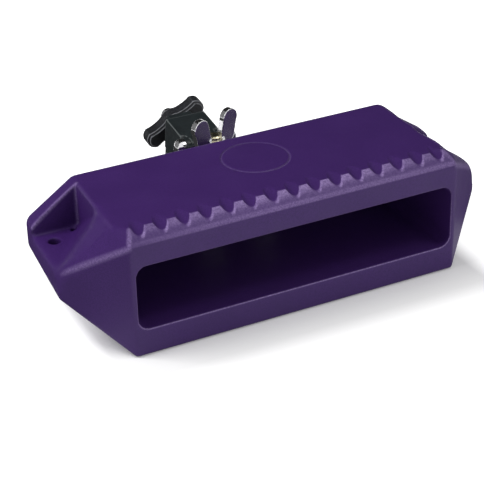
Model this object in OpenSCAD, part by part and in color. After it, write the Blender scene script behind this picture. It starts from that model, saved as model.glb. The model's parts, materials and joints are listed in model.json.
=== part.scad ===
// Hollow moulded percussion block with a bent steel bracket and a two jaw rod clamp on its back.
// The origin is the centre of the flat underside, +X runs along the block and +Y to its back.

/* [Block] */
// Length of the block from ear tip to ear tip
block_length = 247.4; // [238:0.2:270]
// Length of each ear, from the end of the front face to the tip
ear_length = 28.7; // [27:0.1:34]
// Depth of the block from front to back
block_depth = 82; // [78:1:100]
// Height of the block
block_height = 69.4; // [66:0.2:82]
// Height of the front face, where the crest slope starts
face_height = 62.8; // [58:0.2:64]
// Depth of the sloped crest behind the front face
crest_run = 8; // [6:0.5:11]
// Radius of the edges around the underside
base_r = 1.5; // [1:0.1:3]
// Radius of the rear edges
rear_r = 6.5; // [3:0.1:8]
// Radius of the rounded crest edges
crest_r = 1.5; // [0.8:0.1:2.5]

/* [Ears] */
// Radius of the front edges of the ear tips
tip_r = 2.5; // [1.5:0.1:4]
// Distance of the ear tips behind the front face
tip_setback = 25.6; // [22:0.2:30]
// Height of the lower end of the ear tip, at its front
tip_low = 29.3; // [24:0.1:31]
// Height of the upper end of the ear tip, at its front
tip_top = 44.7; // [41:0.1:46]
// Height of the flat pad that holds the ear holes
pad_height = 44.2; // [40:0.2:48]
// Distance of the wall behind the pad from the front face
pad_wall = 68.7; // [66:0.1:74]
// Distance from the front face at which the ramp beside the pad reaches the top
ramp_top = 30.7; // [26:0.1:36]
// Radius of the soft curve between pad and ramp
ramp_foot_r = 8; // [3:0.5:10]
// Diameter of the bolt hole in each ear
bolt_hole_d = 6.8; // [5:0.1:8]
// Distance of the bolt holes from the ear tips
bolt_hole_inset = 11.4; // [10:0.1:13]
// Distance of the bolt holes behind the front face
bolt_hole_setback = 59.1; // [56:0.1:61]
// Diameter of the small locating hole in each ear
pilot_hole_d = 3.4; // [2:0.1:4]
// Distance of the locating holes from the ear tips
pilot_hole_inset = 24.8; // [22:0.1:25]
// Distance of the locating holes behind the front face
pilot_hole_setback = 66; // [60:0.1:66.4]

/* [Slot and notches] */
// Thickness of the walls at the slot's ends, at the front
slot_end_wall = 3; // [2.5:0.5:20]
// Height of the sound slot
slot_height = 35.7; // [28:0.1:38]
// Thickness of the floor under the slot
slot_floor = 15.2; // [12:0.2:17]
// Radius of the slot's corners
slot_corner_r = 6; // [3:0.5:10]
// Thickness of the wall behind the slot
rear_wall = 6; // [5:0.2:8]
// Number of notches in the crest
notch_count = 15; // [7:2:15]
// Distance from the middle of the last notch to the end of the front face
notch_end = 8.3; // [7:0.1:14]
// Radius of a notch
notch_r = 4.5; // [3.5:0.1:5]
// Height of the notch bottoms at the front
notch_bottom = 65.9; // [65:0.1:67]
// Slope of the notches, in degrees
notch_slope = 17; // [12:1:24]
// Diameter of the engraved ring on the top
ring_d = 36.6; // [24:0.2:44]
// Distance of the ring's centre behind the front face
ring_setback = 49.8; // [44:0.2:52]
// Width of the ring's groove
ring_groove_w = 1; // [0.6:0.1:1.6]
// Depth of the ring's groove
ring_groove_depth = 0.5; // [0.3:0.1:1]

/* [Rear bracket] */
// Width of the bracket on the block
bracket_width = 50; // [44:1:60]
// Thickness of the bracket's steel
bracket_t = 3; // [2.5:0.1:4]
// Height of the bracket's lower end
bracket_low = 14; // [10:0.5:16]
// Height of the shelf's upper face
shelf_height = 47; // [45:0.2:50]
// Radius of the outside of the bend
bend_r = 5; // [4.5:0.1:7]
// Radius of the shelf's round end
shelf_end_r = 10; // [9:0.2:12]
// Distance of the swivel bolt behind the block
swivel_reach = 17.5; // [17.5:0.1:22]
// Distance between the two bracket screws
screw_span = 32; // [28:1:36]
// Height of the bracket screws
screw_height = 26; // [24:0.5:30]
// Diameter of the bracket screws
screw_d = 5; // [4:0.1:5.4]

/* [Swivel] */
// Diameter of the swivel bolt
swivel_bolt_d = 8; // [7:0.1:9]
// Diameter of the swivel arm's round base
arm_base_d = 24; // [22:0.5:26]
// Thickness of the swivel arm's base
arm_t = 4; // [3.5:0.1:5]
// Distance of the tilt pivot behind the swivel bolt
tilt_reach = 15; // [14.5:0.1:20]
// Thickness of each fork cheek
cheek_t = 3; // [2.5:0.1:4]
// Radius of the round ends of the fork cheeks
cheek_r = 4.8; // [4.2:0.1:5]
// Diameter of the tilt bolt
tilt_bolt_d = 6; // [5:0.1:6.4]
// Span of the wing nut from wing to wing
wing_span = 33; // [28:0.5:33]
// Height of the wing nut
wing_height = 22.5; // [19:0.5:24]
// Thickness of a wing
wing_t = 3.6; // [2.4:0.1:4]

/* [Clamp] */
// Upward tilt of the clamp as photographed, in degrees
clamp_tilt = 10; // [0:1:20]
// Width of the fixed jaw
jaw_width = 24; // [22:0.5:28]
// Diameter of the rod that the jaws are closed on
rod_d = 12.7; // [11:0.1:13]
// Depth of the fixed jaw, from its front to its gripping face
fixed_jaw_depth = 20.6; // [18.8:0.2:24]
// Width of the moving jaw
moving_jaw_w = 15; // [14:0.5:20]
// Thickness of the moving jaw
moving_jaw_t = 5.2; // [5:0.2:8]
// Gap between the jaws on the rod
jaw_gap = 3.3; // [3.3:0.1:4.5]
// Diameter of the clamp stud
stud_d = 8; // [7:0.1:8.2]
// Length of the T knob
knob_length = 40; // [34:0.5:46]
// Thickness of the T knob
knob_t = 9; // [8:0.2:11]
// Turn of the T knob as photographed, in degrees
knob_turn = 31; // [0:1:90]
// Length of stud that shows behind the T knob
stud_tip = 5.4; // [4.5:0.1:8]

/* [Hidden] */

// Overrun of every cut past the face that it starts from
over = 2;
// Running clearance on a radius, for a shaft that turns or slides in a bore
running_gap = 0.06;
// Clearance on a radius for a screw that only passes through
pass_gap = 0.2;
// Clearance on flat faces that slide past each other
slide_gap = 0.2;
// Clearance on curved faces that turn past each other
curve_gap = 0.3;

// Block
front_y = -block_depth / 2;
rear_y = block_depth / 2;
tip_x = block_length / 2;
face_half = tip_x - ear_length;
bolt_hole_x = tip_x - bolt_hole_inset;
pilot_hole_x = tip_x - pilot_hole_inset;
crest_in = 3.4;
ridge_out = 2.9;
ridge_start = 15.2;
ridge_rear_in = 1;
base_in = 1;
tip_rear_in = 2.7;
tip_rear_rise = 5.2;
round_faces = 24;
round_share = cos(180 / round_faces);

// Sharp corners of the block's right half, before rounding
block_corners = [
    [face_half - base_in, front_y, 0],
    [face_half - base_in, rear_y, 0],
    [tip_x, front_y + tip_setback, tip_low],
    [tip_x - tip_rear_in, rear_y, tip_low + tip_rear_rise],
    [tip_x, front_y + tip_setback, tip_top],
    [tip_x - tip_rear_in, rear_y, tip_top + tip_rear_rise],
    [face_half, front_y, face_height],
    [face_half - crest_in, front_y + crest_run, block_height],
    [face_half + ridge_out, front_y + ridge_start, block_height],
    [face_half - ridge_rear_in, rear_y, block_height]
];
corner_radii = [base_r, base_r, tip_r, rear_r, tip_r, rear_r, crest_r, crest_r, crest_r, rear_r];
// Way from each corner to the middle of its rounding, as shares of its radius
corner_inset_shares = [
    [-0.39, 1, 1],
    [-0.39, -1, 1],
    [-1, 0.44, 0.41],
    [-1, -1, 0.41],
    [-1, 0.44, -0.41],
    [-1, -1, -0.41],
    [-0.39, 1, -0.47],
    [-0.3, 0.36, -1],
    [-0.41, 0.3, -1],
    [-0.41, -1, -1]
];

// Recess over each pad: its inner wall stands on the end of the front face and flares to the front
wall_flare = 2.6;
recess_height = block_height + over - pad_height;
recess_reach = ear_length + 6 * over;
foot_setback = pad_wall - tip_setback;
foot_turn = atan2(ear_length, foot_setback);
ramp_run = pad_wall - ramp_top;
ramp_slope = atan2(block_height - pad_height, ramp_run * sin(foot_turn) - wall_flare * cos(foot_turn));
foot_in = ramp_foot_r * tan(ramp_slope / 2);
foot_steps = 8;

// Pocket under each bolt hole, with a flat floor for a nut or washer
bolt_pocket_r = 7;
bolt_pocket_floor = 28;

// Sound slot
slot_width = 2 * (face_half - slot_end_wall);
slot_r = slot_corner_r;
cavity_depth = block_depth - rear_wall;
notch_start = 3.7;
notch_pitch = 2 * (face_half - notch_end) / (notch_count - 1);

// Bracket and its screws
bend_in_r = bend_r - bracket_t;
leg_corner_r = 6;
swivel_y = rear_y + swivel_reach;
screw_r = screw_d / 2;
screw_hole_r = screw_r + pass_gap;
screw_head_r = screw_d * 0.92;
screw_head_h = screw_d * 0.62;
lock_washer_t = 1.1;
inner_washer_t = 1.2;
inner_washer_r = screw_d * 1.5;
nut_h = screw_d * 0.8;
nut_r = screw_d * 0.924;
screw_end = 1.5;
inner_wall_y = rear_y - rear_wall;
screw_out_y = rear_y + bracket_t + lock_washer_t;
screw_in_y = inner_wall_y - inner_washer_t - nut_h - screw_end;

// Swivel bolt, arm, washer and wing nut
swivel_r = swivel_bolt_d / 2;
bolt_head_r = swivel_bolt_d;
bolt_head_h = 3.5;
neck_side = swivel_bolt_d;
neck_gap = 0.1;
arm_top = shelf_height + arm_t;
swivel_washer_t = 1.5;
wing_base = arm_top + swivel_washer_t;
hub_h = 7.5;
hub_low_r = 7;
hub_high_r = 5.8;
bolt_end = 2.5;
bolt_tip_bevel = 0.8;
wing_turn = 19;
wing_lobe_r = 5.4;
wing_waist = 5.2;
wing_lean = 14;
wing_root_z = 8;

// Tilt pivot
tilt_y = swivel_y + tilt_reach;
tilt_z = shelf_height + cheek_r + slide_gap;
tilt_r = tilt_bolt_d / 2;
lug_half = jaw_width / 2 - cheek_t;
fork_half = lug_half + cheek_t + slide_gap;
lug_r = cheek_r - 0.6;
web_t = 2.6;
fork_rise = 2.8;
relief_r = lug_r + curve_gap;
web_y = tilt_y - relief_r - running_gap - web_t;
swivel_washer_r = min(swivel_bolt_d, web_y - swivel_y - 2 * slide_gap);
tilt_head_r = tilt_bolt_d * 0.8;
tilt_rim_h = tilt_bolt_d / 3;
tilt_dome_h = tilt_head_r * 0.85;
tilt_washer_t = 1.2;
tilt_washer_r = tilt_bolt_d;
tilt_nut_h = tilt_bolt_d * 0.8;
tilt_nut_r = tilt_bolt_d * 0.96;
tilt_end = 0.8;

// Clamp, in its own frame with the tilt pivot at the origin and y along the stud
body_front = 5.2;
body_top = 3.1;
stud_drop = 10.4;
stud_r = stud_d / 2;
rod_r = rod_d / 2;
rod_drop = 12.2;
rod_z = -stud_drop - rod_drop;
body_low_drop = 21.1;
body_low = -stud_drop - body_low_drop;
grip_y = body_front + fixed_jaw_depth;
fixed_bite = (rod_d - jaw_gap) * 0.66;
rod_y = grip_y - fixed_bite + rod_r;
jaw_front = grip_y + jaw_gap;
jaw_back = jaw_front + moving_jaw_t;
jaw_top = -0.8;
tongue_w = 9.6;
tongue_t = 3;
tongue_length = 12;
tongue_travel = 3.8;
tongue_z = -3.1;
stud_nut_r = stud_d * 0.93;
stud_nut_h = stud_d * 0.66;
jaw_washer_t = 1;
jaw_washer_r = moving_jaw_w / 2 - slide_gap;
knob_front = jaw_back + jaw_washer_t;
knob_back = knob_front + knob_t;
insert_r = 6;
insert_gap = 0.02;
knob_end_r = 6.3;
knob_hub_r = 7.6;
knob_waist_r = 20;
knob_waist_half = 5.2;
knob_bevel = 1.2;
body_edge = 1;

// Rectangle with rounded corners, centred on the origin
module round_rect(w, h, r) {
    square([w - 2 * r, h], center = true);
    square([w, h - 2 * r], center = true);
    for (x = [-1, 1], y = [-1, 1])
        translate([x * (w / 2 - r), y * (h / 2 - r)])
            circle(r, $fn = 48);
}

// Ring on the plane z = 0
module ring(r_out, r_in, t) {
    difference() {
        cylinder(r = r_out, h = t, $fn = 64);
        translate([0, 0, -over])
            cylinder(r = r_in, h = t + 2 * over, $fn = 64);
    }
}

// Hexagon with a round hole on the plane z = 0
module hex_ring(r_out, r_in, t) {
    difference() {
        cylinder(r = r_out, h = t, $fn = 6);
        translate([0, 0, -over])
            cylinder(r = r_in, h = t + 2 * over, $fn = 64);
    }
}

// Low dome on the plane z = 0, a slice of a ball
module dome(r, h) {
    ball_r = (r * r + h * h) / (2 * h);
    intersection() {
        translate([0, 0, h - ball_r])
            sphere(r = ball_r, $fn = 96);
        cylinder(r = r, h = h + over, $fn = 64);
    }
}

module both_sides() {
    children();
    mirror([1, 0, 0])
        children();
}

// Places its children in the clamp's own frame
module clamp_frame() {
    translate([0, tilt_y, tilt_z])
        rotate([clamp_tilt, 0, 0])
            children();
}

// Turns a shape that stands on z = 0 so that it runs along +Y
module along_y() {
    rotate([-90, 0, 0])
        children();
}

// Places its children at each bracket screw, with z running to the back
module at_screws(y) {
    for (x = [-1, 1])
        translate([x * screw_span / 2, y, screw_height])
            along_y()
                children();
}

// Outer form of the block: a convex faceted body with every edge rounded
module block_form() {
    hull()
        for (side = [-1, 1], i = [0 : len(block_corners) - 1]) {
            p = block_corners[i] + corner_radii[i] * round_share * corner_inset_shares[i];
            translate([side * p[0], p[1], p[2]])
                sphere(r = corner_radii[i], $fn = round_faces);
        }
}

// Plan of the space over the right ear's pad, with the corner of its two upright walls at the origin
module recess_plan() {
    polygon([
        [0, 0],
        [recess_reach, 0],
        [recess_reach, -pad_wall],
        [wall_flare * pad_wall / ramp_run, -pad_wall]
    ]);
}

// Section across the foot of the ramp: pad, soft curve and ramp below, open space above
module recess_section() {
    middle = [foot_in, ramp_foot_r];
    polygon(concat(
        [for (i = [0 : foot_steps])
            middle - ramp_foot_r * [sin(ramp_slope * i / foot_steps), cos(ramp_slope * i / foot_steps)]],
        [
            [-recess_height / tan(ramp_slope), recess_height],
            [block_depth, recess_height],
            [block_depth, 0]
        ]
    ));
}

// Space over the pad of the right ear
module ear_recess() {
    translate([face_half, front_y + pad_wall, pad_height])
        intersection() {
            linear_extrude(recess_height)
                recess_plan();
            rotate([90, 0, foot_turn])
                linear_extrude(2 * block_depth, center = true)
                    recess_section();
        }
}

module ear_holes() {
    translate([bolt_hole_x, front_y + bolt_hole_setback, -over])
        cylinder(d = bolt_hole_d, h = block_height + 2 * over, $fn = 48);
    translate([bolt_hole_x, front_y + bolt_hole_setback, -over])
        cylinder(r = bolt_pocket_r, h = bolt_pocket_floor + over, $fn = 64);
    translate([pilot_hole_x, front_y + pilot_hole_setback, -over])
        cylinder(d = pilot_hole_d, h = block_height + 2 * over, $fn = 48);
}

module sound_slot() {
    translate([0, inner_wall_y, slot_floor + slot_height / 2])
        rotate([90, 0, 0])
            linear_extrude(cavity_depth + over)
                round_rect(slot_width, slot_height, slot_r);
}

module notches() {
    for (i = [0 : notch_count - 1])
        translate([(i - (notch_count - 1) / 2) * notch_pitch, front_y + notch_start, notch_bottom + notch_r])
            rotate([notch_slope - 90, 0, 0])
                translate([0, 0, -notch_start * over])
                    cylinder(r = notch_r, h = block_depth / 2, $fn = 48);
}

module ring_groove() {
    translate([0, front_y + ring_setback, block_height - ring_groove_depth])
        ring(ring_d / 2 + ring_groove_w / 2, ring_d / 2 - ring_groove_w / 2, ring_groove_depth + over);
}

module block_shell() {
    color([0.27, 0.18, 0.4])
        difference() {
            block_form();
            both_sides() {
                ear_recess();
                ear_holes();
            }
            sound_slot();
            notches();
            ring_groove();
            at_screws(inner_wall_y - over)
                cylinder(r = screw_hole_r, h = rear_wall + 2 * over, $fn = 48);
        }
}

// Side view of the bracket: upright leg, bend and shelf
module bracket_profile() {
    translate([0, bracket_low])
        square([bracket_t, shelf_height - bend_r - bracket_low]);
    translate([bend_r, shelf_height - bracket_t])
        square([swivel_reach + shelf_end_r - bend_r, bracket_t]);
    intersection() {
        translate([bend_r, shelf_height - bend_r])
            difference() {
                circle(bend_r, $fn = 64);
                circle(bend_in_r, $fn = 64);
            }
        translate([0, shelf_height - bend_r])
            square([bend_r, bend_r]);
    }
}

// Front view of the leg, with two rounded lower corners
module leg_outline() {
    leg_height = shelf_height + over - bracket_low;
    translate([0, bracket_low + leg_height / 2])
        round_rect(bracket_width, leg_height, leg_corner_r);
    translate([-bracket_width / 2, bracket_low + leg_height / 2])
        square([bracket_width, leg_height / 2]);
}

// Top view of the shelf, drawn in to its round end
module shelf_outline() {
    circle(shelf_end_r, $fn = 96);
    polygon([
        [-bracket_width / 2, bend_r - swivel_reach],
        [bracket_width / 2, bend_r - swivel_reach],
        [shelf_end_r, 0],
        [-shelf_end_r, 0]
    ]);
}

module rear_bracket() {
    color([0.72, 0.73, 0.75])
        difference() {
            intersection() {
                translate([-bracket_width / 2, rear_y, 0])
                    rotate([90, 0, 90])
                        linear_extrude(bracket_width)
                            bracket_profile();
                union() {
                    translate([0, rear_y + bend_r, 0])
                        rotate([90, 0, 0])
                            linear_extrude(bend_r + over)
                                leg_outline();
                    translate([0, swivel_y, 0])
                        linear_extrude(shelf_height + over)
                            shelf_outline();
                }
            }
            at_screws(rear_y - over)
                cylinder(r = screw_hole_r, h = bracket_t + 2 * over, $fn = 48);
            translate([0, swivel_y, shelf_height - bracket_t / 2])
                cube([neck_side + 2 * neck_gap, neck_side + 2 * neck_gap, bracket_t + 2 * over], center = true);
        }
}

module bracket_screws() {
    color([0.75, 0.75, 0.77]) {
        at_screws(screw_in_y)
            cylinder(r = screw_r, h = screw_out_y - screw_in_y, $fn = 48);
        at_screws(screw_out_y)
            difference() {
                dome(screw_head_r, screw_head_h);
                for (turn = [0, 90])
                    rotate([0, 0, turn])
                        translate([-screw_head_r / 2, -screw_head_h / 8, screw_head_h / 2])
                            cube([screw_head_r, screw_head_h / 4, screw_head_h]);
            }
    }
}

module lock_washers() {
    color([0.6, 0.6, 0.62])
        at_screws(rear_y + bracket_t)
            difference() {
                ring(screw_head_r, screw_hole_r, lock_washer_t);
                translate([0, -lock_washer_t / 4, -over])
                    cube([screw_head_r + over, lock_washer_t / 2, lock_washer_t + 2 * over]);
            }
}

module inner_washers() {
    color([0.6, 0.6, 0.62])
        at_screws(inner_wall_y - inner_washer_t)
            ring(inner_washer_r, screw_hole_r, inner_washer_t);
}

module inner_nuts() {
    color([0.7, 0.7, 0.72])
        at_screws(inner_wall_y - inner_washer_t - nut_h)
            hex_ring(nut_r, screw_r, nut_h);
}

// Bolt with a low round head under the shelf, a square neck in the shelf and a bevelled end
module swivel_bolt() {
    end_z = wing_base + hub_h + bolt_end;
    color([0.85, 0.75, 0.45])
        translate([0, swivel_y, 0]) {
            translate([0, 0, shelf_height - bracket_t])
                mirror([0, 0, 1])
                    dome(bolt_head_r, bolt_head_h);
            translate([-neck_side / 2, -neck_side / 2, shelf_height - bracket_t])
                cube([neck_side, neck_side, bracket_t]);
            translate([0, 0, shelf_height - bracket_t])
                cylinder(r = swivel_r, h = end_z - bolt_tip_bevel - shelf_height + bracket_t, $fn = 64);
            translate([0, 0, end_z - bolt_tip_bevel])
                cylinder(r1 = swivel_r, r2 = swivel_r - bolt_tip_bevel, h = bolt_tip_bevel, $fn = 64);
        }
}

// Side view of a fork cheek, with the pivot at the origin
module cheek_outline() {
    circle(cheek_r, $fn = 64);
    translate([web_y - tilt_y, -cheek_r])
        square([tilt_y - web_y, cheek_r + fork_rise]);
}

// Arm that turns on the shelf: round base, web and a fork for the clamp's lug
module swivel_arm() {
    color([0.13, 0.13, 0.14])
        difference() {
            union() {
                translate([0, swivel_y, shelf_height])
                    cylinder(d = arm_base_d, h = arm_t, $fn = 96);
                translate([-fork_half, swivel_y, shelf_height])
                    cube([2 * fork_half, web_y + web_t - swivel_y, arm_t]);
                translate([-fork_half, web_y, shelf_height])
                    cube([2 * fork_half, web_t, tilt_z + fork_rise - shelf_height]);
                both_sides()
                    translate([fork_half - cheek_t, tilt_y, tilt_z])
                        rotate([90, 0, 90])
                            linear_extrude(cheek_t)
                                cheek_outline();
            }
            translate([0, swivel_y, shelf_height - over])
                cylinder(r = swivel_r + running_gap, h = arm_t + 2 * over, $fn = 64);
            translate([-fork_half - over, tilt_y, tilt_z])
                rotate([0, 90, 0])
                    cylinder(r = tilt_r + running_gap, h = 2 * fork_half + 2 * over, $fn = 64);
            translate([cheek_t - fork_half, tilt_y, tilt_z])
                rotate([0, 90, 0])
                    cylinder(r = relief_r, h = 2 * (fork_half - cheek_t), $fn = 64);
        }
}

module tilt_bolt() {
    bolt_length = 2 * fork_half + tilt_washer_t + tilt_nut_h + tilt_end;
    color([0.85, 0.85, 0.87])
        translate([-fork_half, tilt_y, tilt_z]) {
            rotate([0, -90, 0]) {
                cylinder(r = tilt_head_r, h = tilt_rim_h, $fn = 64);
                translate([0, 0, tilt_rim_h])
                    dome(tilt_head_r, tilt_dome_h);
            }
            rotate([0, 90, 0])
                cylinder(r = tilt_r, h = bolt_length, $fn = 64);
        }
}

module tilt_washer() {
    color([0.7, 0.7, 0.72])
        translate([fork_half, tilt_y, tilt_z])
            rotate([0, 90, 0])
                ring(tilt_washer_r, tilt_r + pass_gap, tilt_washer_t);
}

module tilt_nut() {
    color([0.75, 0.75, 0.77])
        translate([fork_half + tilt_washer_t, tilt_y, tilt_z])
            rotate([0, 90, 0])
                hex_ring(tilt_nut_r, tilt_r, tilt_nut_h);
}

module swivel_washer() {
    color([0.75, 0.75, 0.77])
        translate([0, swivel_y, arm_top])
            ring(swivel_washer_r, swivel_r + running_gap, swivel_washer_t);
}

// Outline of the right wing, in the plane of the wings, with the nut's foot at the origin
module wing_outline() {
    lobe_x = wing_span / 2 - wing_lobe_r;
    lobe_z = wing_height - wing_lobe_r;
    lobe_rise = lobe_z - wing_root_z;
    translate([lobe_x, lobe_z]) {
        circle(wing_lobe_r, $fn = 64);
        rotate([0, 0, -wing_lean])
            translate([-wing_waist, -lobe_rise])
                square([2 * wing_waist, lobe_rise]);
        rotate([0, 0, -wing_lean])
            translate([0, -lobe_rise])
                circle(wing_lobe_r, $fn = 64);
    }
    polygon([
        [0, hub_h / 4],
        [hub_low_r, hub_h / 4],
        [lobe_x, wing_root_z],
        [lobe_x - wing_lobe_r, wing_root_z + hub_h / 2],
        [0, hub_h]
    ]);
}

module wing_nut() {
    color([0.85, 0.85, 0.87])
        translate([0, swivel_y, wing_base])
            rotate([0, 0, wing_turn])
                difference() {
                    union() {
                        cylinder(r1 = hub_low_r, r2 = hub_high_r, h = hub_h, $fn = 64);
                        both_sides()
                            translate([0, wing_t / 2, 0])
                                rotate([90, 0, 0])
                                    linear_extrude(wing_t)
                                        wing_outline();
                    }
                    translate([0, 0, -over])
                        cylinder(r = swivel_r + running_gap, h = wing_height + 2 * over, $fn = 64);
                }
}

// Block along x with its long edges cut back a little
module bevelled_block(y_low, y_high, z_low, z_high, w) {
    e = body_edge;
    translate([-w / 2, 0, 0])
        rotate([90, 0, 90])
            linear_extrude(w)
                polygon([
                    [y_low + e, z_low],
                    [y_high - e, z_low],
                    [y_high, z_low + e],
                    [y_high, z_high - e],
                    [y_high - e, z_high],
                    [y_low + e, z_high],
                    [y_low, z_high - e],
                    [y_low, z_low + e]
                ]);
}

// Round seat for the rod, cut along x
module rod_seat() {
    translate([-jaw_width, rod_y, rod_z])
        rotate([0, 90, 0])
            cylinder(r = rod_r, h = 2 * jaw_width, $fn = 96);
}

module vise_body() {
    color([0.15, 0.16, 0.17])
        clamp_frame()
            difference() {
                union() {
                    bevelled_block(body_front, grip_y, body_low, body_top, jaw_width);
                    translate([-lug_half, 0, 0])
                        rotate([0, 90, 0])
                            cylinder(r = lug_r, h = 2 * lug_half, $fn = 64);
                    translate([-lug_half, 0, -lug_r])
                        cube([2 * lug_half, body_front + body_edge, lug_r + body_top]);
                }
                translate([-jaw_width, 0, 0])
                    rotate([0, 90, 0])
                        cylinder(r = tilt_r + running_gap, h = 2 * jaw_width, $fn = 64);
                rod_seat();
                translate([0, body_front - over, -stud_drop])
                    along_y()
                        cylinder(r = stud_r + pass_gap, h = fixed_jaw_depth + 2 * over, $fn = 64);
                translate([0, body_front - over, -stud_drop])
                    along_y()
                        cylinder(r = stud_nut_r + pass_gap, h = stud_nut_h + over, $fn = 6);
                translate([-tongue_w / 2 - slide_gap, jaw_front - tongue_length - tongue_travel,
                        tongue_z - tongue_t / 2 - slide_gap])
                    cube([tongue_w + 2 * slide_gap, tongue_length + tongue_travel, tongue_t + 2 * slide_gap]);
            }
}

module clamp_stud() {
    end_y = knob_back + stud_tip;
    color([0.85, 0.85, 0.87])
        clamp_frame()
            translate([0, body_front, -stud_drop])
                along_y() {
                    cylinder(r = stud_r, h = end_y - body_front - bolt_tip_bevel, $fn = 64);
                    translate([0, 0, end_y - body_front - bolt_tip_bevel])
                        cylinder(r1 = stud_r, r2 = stud_r - bolt_tip_bevel, h = bolt_tip_bevel, $fn = 64);
                }
}

module stud_nut() {
    color([0.75, 0.75, 0.77])
        clamp_frame()
            translate([0, body_front, -stud_drop])
                along_y()
                    hex_ring(stud_nut_r, stud_r, stud_nut_h);
}

module moving_jaw() {
    color([0.15, 0.16, 0.17])
        clamp_frame()
            difference() {
                union() {
                    bevelled_block(jaw_front, jaw_back, body_low, jaw_top, moving_jaw_w);
                    translate([-tongue_w / 2, jaw_front - tongue_length, tongue_z - tongue_t / 2])
                        cube([tongue_w, tongue_length + moving_jaw_t / 2, tongue_t]);
                }
                rod_seat();
                translate([0, jaw_front - over, -stud_drop])
                    along_y()
                        cylinder(r = stud_r + running_gap, h = moving_jaw_t + 2 * over, $fn = 64);
            }
}

module jaw_washer() {
    color([0.75, 0.75, 0.77])
        clamp_frame()
            translate([0, jaw_back, -stud_drop])
                along_y()
                    ring(jaw_washer_r, stud_r + running_gap, jaw_washer_t);
}

// Outline of the T knob, drawn in at both sides of its hub, smaller by inset all round
module knob_outline(inset) {
    end_x = knob_length / 2 - knob_end_r;
    circle(knob_hub_r - inset, $fn = 96);
    difference() {
        union() {
            square([2 * end_x, 2 * (knob_end_r - inset)], center = true);
            for (x = [-1, 1])
                translate([x * end_x, 0])
                    circle(knob_end_r - inset, $fn = 64);
        }
        for (x = [-1, 1], y = [-1, 1])
            translate([x * (end_x + knob_hub_r) / 2, y * (knob_waist_half + knob_waist_r)])
                circle(knob_waist_r + inset, $fn = 96);
    }
}

module t_knob() {
    color([0.16, 0.16, 0.17])
        clamp_frame()
            translate([0, knob_front, -stud_drop])
                along_y()
                    rotate([0, 0, -knob_turn])
                        difference() {
                            union() {
                                linear_extrude(knob_t)
                                    knob_outline(knob_bevel);
                                translate([0, 0, knob_bevel])
                                    linear_extrude(knob_t - 2 * knob_bevel)
                                        knob_outline(0);
                            }
                            translate([0, 0, -over])
                                cylinder(r = insert_r + insert_gap, h = knob_t + 2 * over, $fn = 64);
                        }
}

module knob_insert() {
    color([0.8, 0.65, 0.3])
        clamp_frame()
            translate([0, knob_front, -stud_drop])
                along_y()
                    ring(insert_r, stud_r + running_gap, knob_t);
}

block_shell();
rear_bracket();
bracket_screws();
lock_washers();
inner_washers();
inner_nuts();
swivel_bolt();
swivel_arm();
tilt_bolt();
tilt_washer();
tilt_nut();
swivel_washer();
wing_nut();
vise_body();
clamp_stud();
stud_nut();
moving_jaw();
jaw_washer();
t_knob();
knob_insert();
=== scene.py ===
"""Looks of the percussion block with its rod clamp: finer meshes, materials, light and the photo's camera.

Lengths are in metres, in the CAD frame: +X along the block, +Y from its slotted front to the clamp, +Z up.
Tables marked mm are in millimetres of the same frame, and MM turns them into metres.
"""

import json
import math

import bmesh
import bpy
import numpy as np
from mathutils import Matrix, Vector


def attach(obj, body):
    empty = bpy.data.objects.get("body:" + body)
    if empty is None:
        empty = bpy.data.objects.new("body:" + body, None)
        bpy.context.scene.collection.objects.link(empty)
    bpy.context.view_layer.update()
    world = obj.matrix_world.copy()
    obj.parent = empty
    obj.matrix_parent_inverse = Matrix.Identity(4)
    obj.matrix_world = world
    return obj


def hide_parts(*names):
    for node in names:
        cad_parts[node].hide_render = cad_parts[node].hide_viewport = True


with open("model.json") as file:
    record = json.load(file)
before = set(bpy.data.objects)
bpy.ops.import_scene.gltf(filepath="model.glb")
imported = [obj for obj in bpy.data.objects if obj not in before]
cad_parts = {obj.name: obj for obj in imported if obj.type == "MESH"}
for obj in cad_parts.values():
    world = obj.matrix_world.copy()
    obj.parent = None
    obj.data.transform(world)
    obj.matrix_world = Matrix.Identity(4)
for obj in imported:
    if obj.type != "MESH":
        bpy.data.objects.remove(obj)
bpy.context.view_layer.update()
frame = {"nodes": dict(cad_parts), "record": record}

MM = 0.001
HIGHLIGHT_ATTRIBUTE = "painted_edge_highlight"  # the mesh attribute that holds how much painted highlight each point takes, from 0 to 1

# ---- camera, solved from the photograph ----
PHOTO_W, PHOTO_H = 484, 500
CAMERA_AT = Vector((-0.34854, -0.67923, 0.43674))
CAMERA_YAW = math.radians(26.24)
CAMERA_PITCH = math.radians(28.77)
CAMERA_ROLL = math.radians(-1.51)
FOCAL_PX = 1608.1
SENSOR_MM = 36.0

# ---- sizes that repeat those of the part's source ----
TILT = math.radians(10)
STUD_AXIS = Vector((0, math.cos(TILT), math.sin(TILT)))  # along the clamp's stud, towards the back
RING_AT = Vector((0, 0.0088, 0.0694))
RING_R = 0.0183

# ---- crest (mm) ----
CREST_FRONT, CREST_HALF = -38.2, 95.0
CREST_FACING = np.array((0, -0.636, 0.771))
# The round line that each notch's painted rim highlight follows
NOTCH_PITCH, NOTCH_COUNT, NOTCH_R = 12.386, 15, 4.6
NOTCH_LOW = 65.6  # its lowest height, at the crest's front
NOTCH_RISE = math.tan(math.radians(21.5))  # how steeply that height rises to the back
FINE_BACK, FINE_LOW = -22, 61.5  # the cells in front of and above these are halved

# ---- ears: corners of the right one, named after where they lie (mm) ----
TIP_FRONT, TIP_REAR, FACE_TOP = (123, -15.8, 44.3), (121.8, 24, 44.2), (95, -40.8, 62.8)
CREST_END, RAMP_FRONT, RAMP_REAR = (90.6, -33, 69.4), (98.2, -25.7, 69.3), (97.5, -9.3, 69.2)
WALL_TOP, WALL_FOOT, WALL_LOW = (95, 27.7, 69.2), (95, 27.7, 44.4), (120.5, 27.7, 49.5)
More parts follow.
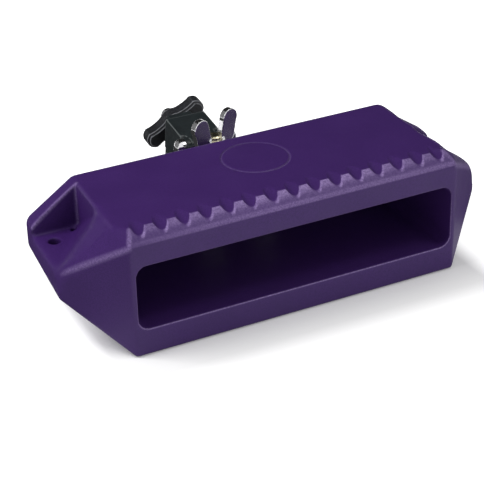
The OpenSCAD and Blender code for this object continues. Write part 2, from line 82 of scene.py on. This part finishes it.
# Long edges: start, end, distance eased in full, distance where it stops (mm), passes
EAR_LINES = (
    (RAMP_REAR, TIP_FRONT, 5, 11, 90),
    (FACE_TOP, TIP_FRONT, 1.6, 4, 24),
    (RAMP_FRONT, CREST_END, 1.5, 4, 20),
    (CREST_END, FACE_TOP, 0.8, 2, 8),
    (RAMP_REAR, RAMP_FRONT, 1.5, 4, 20),
    (TIP_FRONT, TIP_REAR, 2, 5, 40),
)
# Edges with a painted highlight: start, end, distance painted in full, distance where it stops (mm), share
EAR_HIGHLIGHTS = (
    (FACE_TOP, TIP_FRONT, 0.7, 2.4, 0.42),
    (CREST_END, FACE_TOP, 0.6, 1.8, 0.55),
    (WALL_TOP, WALL_LOW, 0.6, 1.7, 0.55),
    (WALL_TOP, WALL_FOOT, 0.6, 1.6, 0.4),
    (WALL_TOP, RAMP_REAR, 0.3, 2.0, 0.1),
    (RAMP_REAR, RAMP_FRONT, 0.3, 2.0, 0.07),
)
# The plane that both crowns are cut down to, and where its cut holds
CROWN_PLANE_AT, CROWN_PLANE_FACING = (97.5, -9.3, 68.8), (401.3, 24.8, 411.1)
CROWN_INNER, CROWN_FRONT, CROWN_BACK, CROWN_LOW = 97, -35, 5, 44.5
# The right crown alone: how far it is drawn in at each y, over which ranges that sets in, and the painted
# highlight on its top edge: start, end, distance painted in full, distance where it stops
DRAWN_IN = (-26, -10, 8, 18, 28, 40), (4.6, 3.2, 2.8, 1.8, 0.8, 0)
DRAW_Z, DRAW_X, DRAW_DEPTH, DRAW_Y = (46, 64), (84, 94), (1, 8), (-34, -27)
END_FACET_FACING = np.array((0.66, -0.75, 0))
CROWN_EDGE = (93.9, -10, 69), (93.2, -26, 69), 0.3, 1.8
# The right ear's rear wall: how much it is lowered, and over which ranges that sets in
WALL_DROP, DROP_X, DROP_Y, DROP_Z = 2.2, (95, 106), (10, 24), (45.5, 49.5)

# ---- painted highlights: where they lie (mm) ----
TEETH_BACK, TEETH_LOW, TEETH_HALF, TEETH_TOPS = -31, 62.2, 94.5, 65.2
SLOT_RIM_FRONT, SLOT_RIM_LOW, SLOT_RIM_HIGH, SLOT_RIM_HALF = -39.6, 10, 56, 94
RING_HALF_WIDTH = 0.9
# A measure's value where the painted highlight sets in, and the width over which it grows to full
ABOVE_CREST_PLANE = -0.75, 0.35
FACES_LIKE_CREST = 0.8, 0.1
RIGHT_OF_NOTCH = -1, 2.5
SLOT_RIM_PROUD = 0.015, 0.03
BLACK_PROUD = 0.035, 0.05
# A measure's value where the painted highlight is full, and how far to either side it ends
FROM_NOTCH_RIM = 0.2, 0.5
SLOT_RIM_NORMAL_Y = -0.62, 0.3
# Places along one axis, and how much painted highlight an edge takes there
TOOTH_BY_Z = (62.4, 62.9, 64.2, 64.9, 66.2, 68.0, 69.4), (0, 0.45, 0.5, 0.22, 0.3, 0.85, 0.95)
TOOTH_BY_X = (-95, -60, -20, 95), (0.4, 0.75, 1, 1)
TOOTH_TOP_BY_X = (35, 80), (1, 0.6)
SLOT_RIM_BY_Z = (14, 17, 22, 50), (2, 1.8, 0.8, 0.4)
CROWN_BY_Y = (-26, -22, -14, -9), (0.1, 0.35, 0.35, 0.1)
RING_BY_Y = (-18, 18), (0.34, 0.16)  # measured from the ring's middle


def linear(rgb):
    """An sRGB colour in 0 to 255 as linear values."""
    out = []
    for c in rgb:
        c /= 255
        out.append(c / 12.92 if c <= 0.04045 else ((c + 0.055) / 1.055) ** 2.4)
    return (*out, 1.0)


def make_camera():
    data = bpy.data.cameras.new("camera")
    data.sensor_fit = "AUTO"
    data.sensor_width = SENSOR_MM
    data.lens = FOCAL_PX * SENSOR_MM / max(PHOTO_W, PHOTO_H)
    data.clip_start = 0.01
    data.clip_end = 20
    obj = bpy.data.objects.new("camera", data)
    bpy.context.scene.collection.objects.link(obj)
    look = Vector(
        (
            math.sin(CAMERA_YAW) * math.cos(CAMERA_PITCH),
            math.cos(CAMERA_YAW) * math.cos(CAMERA_PITCH),
            -math.sin(CAMERA_PITCH),
        )
    )
    right = Vector((math.cos(CAMERA_YAW), -math.sin(CAMERA_YAW), 0))
    up = right.cross(look)
    right_rolled = right * math.cos(CAMERA_ROLL) + up * math.sin(CAMERA_ROLL)
    up_rolled = up * math.cos(CAMERA_ROLL) - right * math.sin(CAMERA_ROLL)
    turn = Matrix((right_rolled, up_rolled, -look)).transposed().to_4x4()
    obj.matrix_world = Matrix.Translation(CAMERA_AT) @ turn
    bpy.context.scene.camera = obj


# ---- materials ----
# Pale colours painted on as highlights: black plastic's edges, black castings' edges, and the purple block's
# edges and teeth
HIGHLIGHT_PLASTIC, HIGHLIGHT_CAST, HIGHLIGHT_PURPLE = (158, 160, 166), (158, 166, 166), (146, 124, 176)


def maths(tree, operation, first, second=None):
    """A maths node on one or two sockets."""
    node = tree.nodes.new("ShaderNodeMath")
    node.operation = operation
    tree.links.new(first, node.inputs[0])
    if second is not None:
        tree.links.new(second, node.inputs[1])
    return node.outputs["Value"]


class Shader:
    """A small helper that builds one material's nodes."""

    def __init__(self, name):
        self.material = bpy.data.materials.new(name)
        self.material.use_nodes = True
        self.tree = self.material.node_tree
        self.bsdf = self.tree.nodes["Principled BSDF"]
        self.place = self.tree.nodes.new("ShaderNodeTexCoord").outputs["Object"]

    def link(self, out, into):
        self.tree.links.new(out, into)

    def set(self, socket, value):
        self.bsdf.inputs[socket].default_value = value

    def drive(self, socket, out):
        """A shader socket fed by another node."""
        self.link(out, self.bsdf.inputs[socket])

    def noise(self, scale, detail=3.0, roughness=0.5, stretch=None):
        node = self.tree.nodes.new("ShaderNodeTexNoise")
        node.inputs["Scale"].default_value = scale
        node.inputs["Detail"].default_value = detail
        node.inputs["Roughness"].default_value = roughness
        place = self.place
        if stretch:
            mapping = self.tree.nodes.new("ShaderNodeMapping")
            mapping.inputs["Scale"].default_value = stretch
            self.link(place, mapping.inputs["Vector"])
            place = mapping.outputs["Vector"]
        self.link(place, node.inputs["Vector"])
        return node.outputs["Fac"]

    def ramp(self, value, low, high, out_low=0, out_high=1):
        node = self.tree.nodes.new("ShaderNodeMapRange")
        node.inputs["From Min"].default_value = low
        node.inputs["From Max"].default_value = high
        node.inputs["To Min"].default_value = out_low
        node.inputs["To Max"].default_value = out_high
        self.link(value, node.inputs["Value"])
        return node.outputs["Result"]

    def patches(self, scale, detail, out_low=0, out_high=1):
        """Soft patches that run from one value to the other."""
        return self.ramp(self.noise(scale, detail), 0.3, 0.7, out_low, out_high)

    def mix(self, share, first, second):
        node = self.tree.nodes.new("ShaderNodeMix")
        node.data_type = "RGBA"
        self.link(share, node.inputs["Factor"])
        for colour, socket in ((first, node.inputs["A"]), (second, node.inputs["B"])):
            if isinstance(colour, tuple):
                socket.default_value = colour
            else:
                self.link(colour, socket)
        return node.outputs["Result"]

    def painted_highlight(self):
        """How much painted highlight the mesh takes at each point."""
        node = self.tree.nodes.new("ShaderNodeAttribute")
        node.attribute_name = HIGHLIGHT_ATTRIBUTE
        return node.outputs["Fac"]

    def bump(self, height, distance, under=None):
        node = self.tree.nodes.new("ShaderNodeBump")
        node.inputs["Distance"].default_value = distance
        node.inputs["Strength"].default_value = 1.0
        self.link(height, node.inputs["Height"])
        if under is not None:
            self.link(under, node.inputs["Normal"])
        return node.outputs["Normal"]


def moulded_plastic(name, dark, light, roughness, grain, grain_depth):
    """Matt moulded plastic: fine grain, faint flow marks and uneven sheen, with pale highlights painted on
    its edges.
    """
    s = Shader(name)
    base = s.mix(s.patches(scale=28, detail=4), linear(dark), linear(light))
    speck = s.ramp(s.noise(scale=grain * 0.6, detail=2), 0.35, 0.65)
    tint = s.mix(speck, linear(dark), base)
    s.drive("Base Color", s.mix(s.painted_highlight(), tint, linear(HIGHLIGHT_PLASTIC)))
    s.drive("Roughness", s.patches(60, 4, roughness - 0.05, roughness + 0.05))
    s.drive("Normal", s.bump(s.noise(grain, detail=4, roughness=0.6), distance=grain_depth))
    return s.material


def block_plastic(name):
    """The block's matt purple plastic, painted paler and sandy where its mesh holds a painted highlight on
    an edge or tooth.
    """
    s = Shader(name)
    base = s.mix(s.patches(scale=28, detail=4), linear((56, 29, 90)), linear((62, 33, 98)))
    speck = s.ramp(s.noise(scale=1500, detail=2), 0.36, 0.64)
    grained = s.mix(speck, linear((52, 27, 85)), base)
    painted_highlight = s.painted_highlight()
    sand = s.ramp(s.noise(scale=1100, detail=3, roughness=0.7), 0.38, 0.6, 0.45, 1)
    # the painted highlight, broken up into sandy specks
    highlight_share = maths(s.tree, "MULTIPLY", painted_highlight, sand)
    s.drive("Base Color", s.mix(highlight_share, grained, linear(HIGHLIGHT_PURPLE)))
    s.drive("Roughness", s.patches(scale=60, detail=4, out_low=0.48, out_high=0.56))
    s.set("Specular IOR Level", 0.29)
    fine = s.bump(s.noise(scale=1700, detail=4, roughness=0.6), distance=0.04 * MM)
    grit = maths(s.tree, "MULTIPLY", painted_highlight, s.noise(scale=900, detail=3, roughness=0.7))
    s.drive("Normal", s.bump(grit, distance=0.25 * MM, under=fine))
    return s.material


def bright_metal(name, dark, light, smoothest, roughest, scratch_mm, stretch):
    """Plated or turned metal: colour and gloss drift a little, with fine drawn lines."""
    s = Shader(name)
    s.drive("Base Color", s.mix(s.patches(scale=90, detail=3), linear(dark), linear(light)))
    s.set("Metallic", 1.0)
    s.drive("Roughness", s.patches(220, 4, smoothest, roughest))
    lines = s.noise(scale=900, detail=3, roughness=0.6, stretch=stretch)
    s.drive("Normal", s.bump(lines, distance=scratch_mm * MM))
    return s.material


def coated_metal(name, dark, light, roughness):
    """Satin black coat on a casting, with the soft pits of the casting below, with pale highlights painted
    on its edges.
    """
    s = Shader(name)
    coat = s.mix(s.patches(scale=120, detail=4), linear(dark), linear(light))
    s.drive("Base Color", s.mix(s.painted_highlight(), coat, linear(HIGHLIGHT_CAST)))
    s.drive("Roughness", s.patches(300, 3, roughness - 0.06, roughness + 0.06))
    pits = s.bump(s.noise(scale=420, detail=2), distance=0.12 * MM)
    s.drive("Normal", s.bump(s.noise(scale=2200, detail=3), distance=0.03 * MM, under=pits))
    return s.material


def make_materials():
    """One material for each material slot of the record."""
    even, drawn = (1, 1, 1), (1, 1, 8)
    metals = (
        # name, darkest and lightest colour, lowest and highest roughness, depth of lines (mm), their stretch
        ("chrome", (224, 224, 227), (238, 238, 240), 0.1, 0.18, 0.004, even),
        ("zinc_steel", (168, 170, 176), (190, 192, 196), 0.28, 0.42, 0.01, drawn),
        ("yellow_zinc", (208, 200, 168), (222, 216, 192), 0.2, 0.34, 0.01, drawn),
        ("brass", (190, 148, 70), (208, 170, 92), 0.2, 0.32, 0.01, drawn),
    )
    made = {metal[0]: bright_metal(*metal) for metal in metals}
    made["purple_plastic"] = block_plastic("purple_plastic")
    made["black_plastic"] = moulded_plastic(
        "black_plastic", (24, 25, 28), (42, 43, 48), roughness=0.5, grain=1100, grain_depth=0.14 * MM
    )
    made["black_cast"] = coated_metal("black_cast", (27, 32, 34), (36, 42, 44), roughness=0.42)
    return made


# ---- meshes ----
record = frame["record"]
SLOT_OF = {row["node"]: row["material_slot"] for row in record["subparts"]}
BODY_OF = {node: body for body, nodes in record["behaviour"]["bodies"].items() for node in nodes}
MATERIALS = make_materials()


def welded(node):
    """The CAD node's surface as one connected bmesh."""
    bm = bmesh.new()
    bm.from_mesh(frame["nodes"][node].data)
    bmesh.ops.remove_doubles(bm, verts=bm.verts, dist=1e-6)
    return bm


def as_object(name, bm):
    mesh = bpy.data.meshes.new(name)
    bm.to_mesh(mesh)
    bm.free()
    obj = bpy.data.objects.new(name, mesh)
    bpy.context.scene.collection.objects.link(obj)
    return obj


def apply_modifiers(obj):
    graph = bpy.context.evaluated_depsgraph_get()
    made = bpy.data.meshes.new_from_object(
        obj.evaluated_get(graph), preserve_all_data_layers=True, depsgraph=graph
    )
    obj.modifiers.clear()
    old = obj.data
    obj.data = made
    bpy.data.meshes.remove(old)
    return obj


def stand_for(obj, node):
    """obj takes the place, body, slot and material of this CAD node."""
    obj.data.materials.clear()
    obj.data.materials.append(MATERIALS[SLOT_OF[node]])
    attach(obj, BODY_OF[node])
    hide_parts(node)
    return obj


def soften(node, name, cell_mm, passes):
    """A cast or moulded piece: the CAD surface in small even cells, with every edge eased."""
    obj = as_object(name, welded(node))
    cells = obj.modifiers.new("cells", "REMESH")
    cells.mode = "VOXEL"
    cells.voxel_size = cell_mm * MM
    cells.use_smooth_shade = True
    ease = obj.modifiers.new("ease", "SMOOTH")
    ease.factor = 0.5
    ease.iterations = passes
    return stand_for(apply_modifiers(obj), node)


def bevelled(node):
    """A turned or pressed piece: the CAD surface with small bevels on its sharp edges."""
    bm = welded(node)
    bmesh.ops.dissolve_limit(bm, angle_limit=math.radians(0.5), verts=bm.verts, edges=bm.edges)
    obj = as_object(node + "_piece", bm)
    bevel = obj.modifiers.new("bevel", "BEVEL")
    bevel.width = 0.25 * MM
    bevel.segments = 2
    bevel.limit_method = "ANGLE"
    bevel.angle_limit = math.radians(30)
    bevel.harden_normals = False
    apply_modifiers(obj)
    for face in obj.data.polygons:
        face.use_smooth = True
    weighted = obj.modifiers.new("weighted", "WEIGHTED_NORMAL")
    weighted.keep_sharp = False
    weighted.weight = 80
    return stand_for(obj, node)


def clear_face(obj, axis, gap):
    """Sets the end face of a turned piece back along its axis, so it clears the face it turns against."""
    end = min(vert.co.dot(axis) for vert in obj.data.vertices)
    for vert in obj.data.vertices:
        if vert.co.dot(axis) < end + gap:
            vert.co += gap * axis


def mesh_arrays(mesh):
    """A mesh's points, edges and point normals as arrays."""
    points = np.empty(3 * len(mesh.vertices))
    mesh.vertices.foreach_get("co", points)
    edges = np.empty(2 * len(mesh.edges), dtype=np.int64)
    mesh.edges.foreach_get("vertices", edges)
    normals = np.empty(3 * len(mesh.vertices))
    mesh.vertex_normals.foreach_get("vector", normals)
    return points.reshape(-1, 3), edges.reshape(-1, 2), normals.reshape(-1, 3)


def eased(points, edges, weight, passes):
    """Points drawn towards their neighbours' mean, as far as each one's weight says."""
    one, two = edges[:, 0], edges[:, 1]
    degree = np.bincount(edges.ravel(), minlength=len(points))
    points = points.copy()
    for _ in range(passes):
        for axis in range(3):
            value = points[:, axis]
            total = np.bincount(one, value[two], len(points)) + np.bincount(two, value[one], len(points))
            points[:, axis] = value + 0.5 * weight * (total / degree - value)
    return points


def stands_proud(points, edges, normals, passes):
    """How far each point stands out from its surroundings (mm)."""
    level = eased(points, edges, np.ones(len(points)), passes)
    return ((points - level) * normals).sum(axis=1) / MM


def rise(value, start, width):
    """0 up to start, 1 beyond start + width, straight between."""
    return np.clip((value - start) / width, 0, 1)


def peak(value, middle, half_width):
    """1 at the middle, 0 beyond half_width to either side."""
    return np.clip(1 - np.abs(value - middle) / half_width, 0, 1)


def soft_step(value, low, high):
    """0 below low, 1 above high, with a soft start and end."""
    share = np.clip((value - low) / (high - low), 0, 1)
    return share * share * (3 - 2 * share)


def near_line(points, start, end, full, none):
    """1 within the distance full of a line, 0 beyond the distance none."""
    start, end = np.array(start) * MM, np.array(end) * MM
    along = np.clip((points - start) @ (end - start) / ((end - start) @ (end - start)), 0, 1)
    gap = np.linalg.norm(points - start - along[:, None] * (end - start), axis=1)
    return np.clip((none * MM - gap) / ((none - full) * MM), 0, 1)


def both_sides(line):
    """A row of one of the ear tables for the left ear, then for the right."""
    start, end, *rest = line
    for side in (-1, 1):
        yield (side * start[0], *start[1:]), (side * end[0], *end[1:]), *rest


# ---- the block's shape ----
def refine_crest(obj):
    """Makes the cells of the crest half as wide, so that its teeth come out crisp."""

    def in_crest(at):
        return at.y < FINE_BACK * MM and at.z > FINE_LOW * MM and abs(at.x) < CREST_HALF * MM

    bm = bmesh.new()
    bm.from_mesh(obj.data)
    near = [edge for edge in bm.edges if all(in_crest(vert.co) for vert in edge.verts)]
    bmesh.ops.subdivide_edges(bm, edges=near, cuts=1, use_grid_fill=True)
    bm.to_mesh(obj.data)
    bm.free()


def level_crown(points):
    """Cuts the ears' crowns down to the plane through the ramp's top edge and the tip's front corner."""
    x, y, z = points.T / MM
    (at_x, at_y, at_z), (face_x, face_y, face_z) = CROWN_PLANE_AT, CROWN_PLANE_FACING
    plane = at_z - (face_x * (np.abs(x) - at_x) + face_y * (y - at_y)) / face_z
    crown = (np.abs(x) > CROWN_INNER) & (y > CROWN_FRONT) & (y < CROWN_BACK) & (z > CROWN_LOW)
    points[:, 2] = np.where(crown & (plane < z), plane, z) * MM
    return points


def draw_in_crown(points):
    """Draws the right ear's crown in, to its straight outline in the photo, and lowers its rear wall."""
    x, y, z = points.T / MM
    depth = (np.array(FACE_TOP) - points / MM) @ END_FACET_FACING
    share = soft_step(z, *DRAW_Z) * soft_step(x, *DRAW_X) * soft_step(depth, *DRAW_DEPTH)
    points[:, 0] -= share * soft_step(y, *DRAW_Y) * np.interp(y, *DRAWN_IN) * MM
    points[:, 2] -= WALL_DROP * soft_step(x, *DROP_X) * soft_step(y, *DROP_Y) * soft_step(z, *DROP_Z) * MM
    return points


def shape_block(obj):
    """Shapes the crowns, then eases every edge a little and the ears' long edges much more."""
    points, edges, _ = mesh_arrays(obj.data)
    points = draw_in_crown(level_crown(points))
    points = eased(points, edges, np.ones(len(points)), 3)
    for ear_line in EAR_LINES:
        for start, end, full, none, passes in both_sides(ear_line):
            points = eased(points, edges, near_line(points, start, end, full, none), passes)
    obj.data.vertices.foreach_set("co", points.ravel())
    obj.data.update()


def groove_ring(obj):
    """Cuts the engraved ring into the block's top, on cells made finer there."""
    half, depth = 0.6 * MM, 0.45 * MM

    def in_band(at, width):
        gap = abs(math.hypot(at.x - RING_AT.x, at.y - RING_AT.y) - RING_R)
        return gap < width and at.z > RING_AT.z - MM

    bm = bmesh.new()
    bm.from_mesh(obj.data)
    near = [e for e in bm.edges if in_band((e.verts[0].co + e.verts[1].co) / 2, 3 * half)]
    bmesh.ops.subdivide_edges(bm, edges=near, cuts=3, use_grid_fill=True)
    for vert in bm.verts:
        if in_band(vert.co, half):
            off = (math.hypot(vert.co.x - RING_AT.x, vert.co.y - RING_AT.y) - RING_R) / half
            vert.co.z -= depth * (1 - off * off) ** 0.5
    bm.to_mesh(obj.data)
    bm.free()


# ---- painted highlights ----
# Stores on each point the share of pale colour painted on as a highlight
def write_painted_highlight(obj, painted_highlight):
    attribute = obj.data.attributes.new(HIGHLIGHT_ATTRIBUTE, "FLOAT", "POINT")
    attribute.data.foreach_set("value", painted_highlight)


def nearest_notch(x, y):
    """How far x lies from the middle of the nearest notch, and that notch's lowest height at y (mm)."""
    last = NOTCH_COUNT // 2
    nearest = np.clip(np.rint(x / NOTCH_PITCH), -last, last)
    lowest = NOTCH_LOW + (y - CREST_FRONT) * NOTCH_RISE
    return x - nearest * NOTCH_PITCH, lowest


def tooth_highlight(points, normals):
    """Painted highlights on the teeth: pale at the top, left plain and dark at the notch bottoms, a paler
    band along the lower edge and a bright line on each notch's right rim.
    """
    x, y, z = points.T / MM
    crest = (y < TEETH_BACK) & (z > TEETH_LOW) & (np.abs(x) < TEETH_HALF)
    above_plane = (points / MM - np.array(CREST_END)) @ CREST_FACING
    on_plane = rise(above_plane, *ABOVE_CREST_PLANE)
    facing = rise(normals @ CREST_FACING, *FACES_LIKE_CREST) * on_plane
    facing = facing * np.where(z > TEETH_TOPS, np.interp(x, *TOOTH_TOP_BY_X), 1)
    teeth = crest * facing * np.interp(z, *TOOTH_BY_Z) * np.interp(x, *TOOTH_BY_X)
    off, lowest = nearest_notch(x, y)
    from_rim = np.hypot(off, z - lowest - NOTCH_R) - NOTCH_R
    # a painted bright line on the right rim of each notch
    lit_rim = peak(from_rim, *FROM_NOTCH_RIM) * rise(off, *RIGHT_OF_NOTCH)
    return np.maximum(teeth, crest * on_plane * np.clip(1.25 * lit_rim, 0, 1))


def slot_rim_highlight(points, normals, proud):
    """A painted highlight on the slot's rim, most along its lower edge."""
    x, y, z = points.T / MM
    rim = (y < SLOT_RIM_FRONT) & (z < SLOT_RIM_HIGH) & (z > SLOT_RIM_LOW) & (np.abs(x) < SLOT_RIM_HALF)
    sharp = rise(proud, *SLOT_RIM_PROUD) * peak(normals[:, 1], *SLOT_RIM_NORMAL_Y)
    return rim * np.clip(sharp * np.interp(z, *SLOT_RIM_BY_Z), 0, 1)


def ring_highlight(points):
    """A painted light line in the ring's groove, a little more at its front."""
    x, y, z = points.T / MM
    middle = RING_AT / MM
    off = np.hypot(x - middle.x, y - middle.y) - RING_R / MM
    in_groove = peak(off, 0, RING_HALF_WIDTH) * (z > middle.z - 1)
    return in_groove * np.interp(y - middle.y, *RING_BY_Y)


def paint_edge_highlights(obj):
    """Writes the painted highlight on each point: the crest's teeth, the slot's rim, the ears' edges and the
    ring.
    """
    points, edges, normals = mesh_arrays(obj.data)
    painted_highlight = np.maximum(
        tooth_highlight(points, normals),
        slot_rim_highlight(points, normals, stands_proud(points, edges, normals, 6)),
    )
    for ear_line in EAR_HIGHLIGHTS:
        for start, end, full, none, share in both_sides(ear_line):
            painted_highlight = np.maximum(painted_highlight, share * near_line(points, start, end, full, none))
    # a painted highlight along the right crown's top edge, fading out to front and back
    fade = np.interp(points[:, 1] / MM, *CROWN_BY_Y)
    painted_highlight = np.maximum(painted_highlight, fade * near_line(points, *CROWN_EDGE))
    write_painted_highlight(obj, np.maximum(painted_highlight, ring_highlight(points)))


def paint_convex_highlights(obj, share):
    """Paints a pale highlight on each point as far as it stands proud."""
    proud = stands_proud(*mesh_arrays(obj.data), 8)
    write_painted_highlight(obj, share * rise(proud, *BLACK_PROUD))


# ---- pieces ----
# Cast and moulded pieces: node, piece, cell (mm), passes of easing, share of painted edge highlight
SOFT_PIECES = (
    ("wing_nut", "wing_nut_cast", 0.22, 14, 0),
    ("t_knob", "knob_grip", 0.3, 4, 0.6),
    ("vise_body", "fixed_jaw", 0.35, 3, 0.25),
    ("tilt_bolt", "tilt_bolt_piece", 0.2, 5, 0),
    ("moving_jaw", "sliding_jaw", 0.35, 3, 0),
    ("swivel_arm", "fork_arm", 0.3, 3, 0),
)
BEVELLED_NODES = (
    "rear_bracket", "bracket_screws", "lock_washers", "inner_washers", "inner_nuts", "swivel_bolt",
    "tilt_washer", "tilt_nut", "swivel_washer", "clamp_stud", "stud_nut", "jaw_washer",
)

make_camera()

block = soften("block_shell", "block_body", 0.7, 0)
refine_crest(block)
shape_block(block)
groove_ring(block)
paint_edge_highlights(block)
for node, name, cell_mm, passes, highlight_share in SOFT_PIECES:
    piece = soften(node, name, cell_mm, passes)
    if highlight_share:
        # pale highlight painted on the piece's convex edges
        paint_convex_highlights(piece, highlight_share)

for node in BEVELLED_NODES:
    bevelled(node)
clear_face(bevelled("knob_insert"), STUD_AXIS, 0.02 * MM)


# ---- studio ----
FLOOR_DROP = 0.2 * MM
FLOOR_GREY = 0.85
SHADOW_AT = (0.02, -0.02, 0)
# How strongly the floor glows: near and far limit of each measure (m), and the glow at both
AWAY_FROM_SHADOW = 0.11, 0.27, 0.14, 0.95
PAST_THE_ENDS = 0.098, 0.12, 0, 0.75
IN_FRONT = -0.042, -0.095, 0, 0.5
AMBIENT, BACKGROUND = 0.4, 1.0

MIDDLE = (0, 0, 0.05)
# Lamps: name, place, target, size, power, whether mirror images show it
LAMPS = (
    ("key", (-0.6, 0.16, 0.8), (0, 0, 0.04), (0.5, 0.4), 7.3, False),
    ("spark", (0.47, -0.39, 1.08), (0, 0, 0.06), (0.3, 0.25), 1.6, True),
    ("front", (0.2, -1.1, 0.3), (0, 0, 0.04), (0.8, 0.4), 1.8, True),
)
# Cards that stand for the unlit parts of the studio: name, place, target, width, depth, shade
CARDS = (
    ("dark_card", (0.6, 1.15, 0.95), MIDDLE, 3.2, 2.3, 0.04),
    ("dark_table", (-0.33, 0.25, 0.0002), (-0.33, 0.25, 1), 0.66, 0.4, 0.04),
    ("dark_side", (0.42, 0.1, 0.0002), (0.42, 0.1, 1), 0.56, 0.3, 0.2),
    ("dark_left", (-0.42, -0.2, 0.0002), (-0.42, -0.2, 1), 0.59, 0.5, 0.1),
    ("dark_wall", (-1.11, 0.78, 0.63), MIDDLE, 2.4, 1.6, 0.4),
    ("dark_ceiling", (0.4, 1.4, 1.9), (0.4, 1.4, 0), 4, 2.6, 0.04),
)


def seen_directly(tree):
    """1 for camera, glossy and transmission rays, 0 for light that only bounces."""
    path = tree.nodes.new("ShaderNodeLightPath")
    mirrored = maths(tree, "MAXIMUM", path.outputs["Is Camera Ray"], path.outputs["Is Glossy Ray"])
    return maths(tree, "MAXIMUM", mirrored, path.outputs["Is Transmission Ray"])


def matt_square(name, size, shade):
    """A flat square in a plain matt grey, as a stage object, and its material's tree."""
    bm = bmesh.new()
    bmesh.ops.create_grid(bm, x_segments=1, y_segments=1, size=size)
    obj = as_object(name, bm)
    material = bpy.data.materials.new(name)
    material.use_nodes = True
    bsdf = material.node_tree.nodes["Principled BSDF"]
    bsdf.inputs["Base Color"].default_value = (shade, shade, shade, 1)
    bsdf.inputs["Roughness"].default_value = 0.9
    bsdf.inputs["Specular IOR Level"].default_value = 0
    obj.data.materials.append(material)
    return obj, material.node_tree


def aim(obj, place, target):
    obj.location = place
    obj.rotation_euler = (Vector(target) - Vector(place)).to_track_quat("-Z", "Y").to_euler()


def make_floor():
    """A matt floor that keeps the object's shadow and glows white around it, for what sees it directly."""
    floor, tree = matt_square("floor", 4, FLOOR_GREY)
    floor.location.z = -FLOOR_DROP
    place = tree.nodes.new("ShaderNodeTexCoord").outputs["Object"]
    away = tree.nodes.new("ShaderNodeVectorMath")
    away.operation = "DISTANCE"
    away.inputs[1].default_value = SHADOW_AT
    tree.links.new(place, away.inputs[0])
    sides = tree.nodes.new("ShaderNodeSeparateXYZ")
    tree.links.new(place, sides.inputs[0])

    def glow(measure, limits):
        ramp = tree.nodes.new("ShaderNodeMapRange")
        ramp.interpolation_type = "SMOOTHSTEP"
        for socket, value in zip(("From Min", "From Max", "To Min", "To Max"), limits):
            ramp.inputs[socket].default_value = value
        tree.links.new(measure, ramp.inputs["Value"])
        return ramp.outputs["Result"]

    around = glow(away.outputs["Value"], AWAY_FROM_SHADOW)
    ends = glow(maths(tree, "ABSOLUTE", sides.outputs["X"]), PAST_THE_ENDS)
    front = glow(sides.outputs["Y"], IN_FRONT)
    strongest = maths(tree, "MAXIMUM", maths(tree, "MAXIMUM", around, ends), front)
    bsdf = tree.nodes["Principled BSDF"]
    bsdf.inputs["Emission Color"].default_value = (1, 1, 1, 1)
    lift = maths(tree, "MULTIPLY", seen_directly(tree), strongest)
    tree.links.new(lift, bsdf.inputs["Emission Strength"])


def make_card(name, place, target, width, depth, shade):
    """A dark card that only mirror images show."""
    card, _ = matt_square(name, 0.5, shade)
    card.scale = (width, depth, 1)
    aim(card, place, target)
    card.visible_camera = False
    card.visible_diffuse = False
    card.visible_shadow = False


def make_world():
    """Plain white light all round, and a white background for what sees it directly."""
    world = bpy.data.worlds.new("studio")
    bpy.context.scene.world = world
    world.use_nodes = True
    tree = world.node_tree
    back = tree.nodes["Background"]
    back.inputs["Color"].default_value = (1, 1, 1, 1)
    strength = tree.nodes.new("ShaderNodeMapRange")
    strength.inputs["To Min"].default_value = AMBIENT
    strength.inputs["To Max"].default_value = BACKGROUND
    tree.links.new(seen_directly(tree), strength.inputs["Value"])
    tree.links.new(strength.outputs["Result"], back.inputs["Strength"])


def make_lamp(name, place, target, size, power, mirrored):
    data = bpy.data.lights.new(name, "AREA")
    data.shape = "RECTANGLE"
    data.size, data.size_y = size
    data.energy = power
    obj = bpy.data.objects.new(name, data)
    bpy.context.scene.collection.objects.link(obj)
    aim(obj, place, target)
    obj.visible_glossy = mirrored


make_floor()
make_world()
for lamp in LAMPS:
    make_lamp(*lamp)
for card in CARDS:
    make_card(*card)

scene = bpy.context.scene
scene.view_settings.view_transform = "Standard"
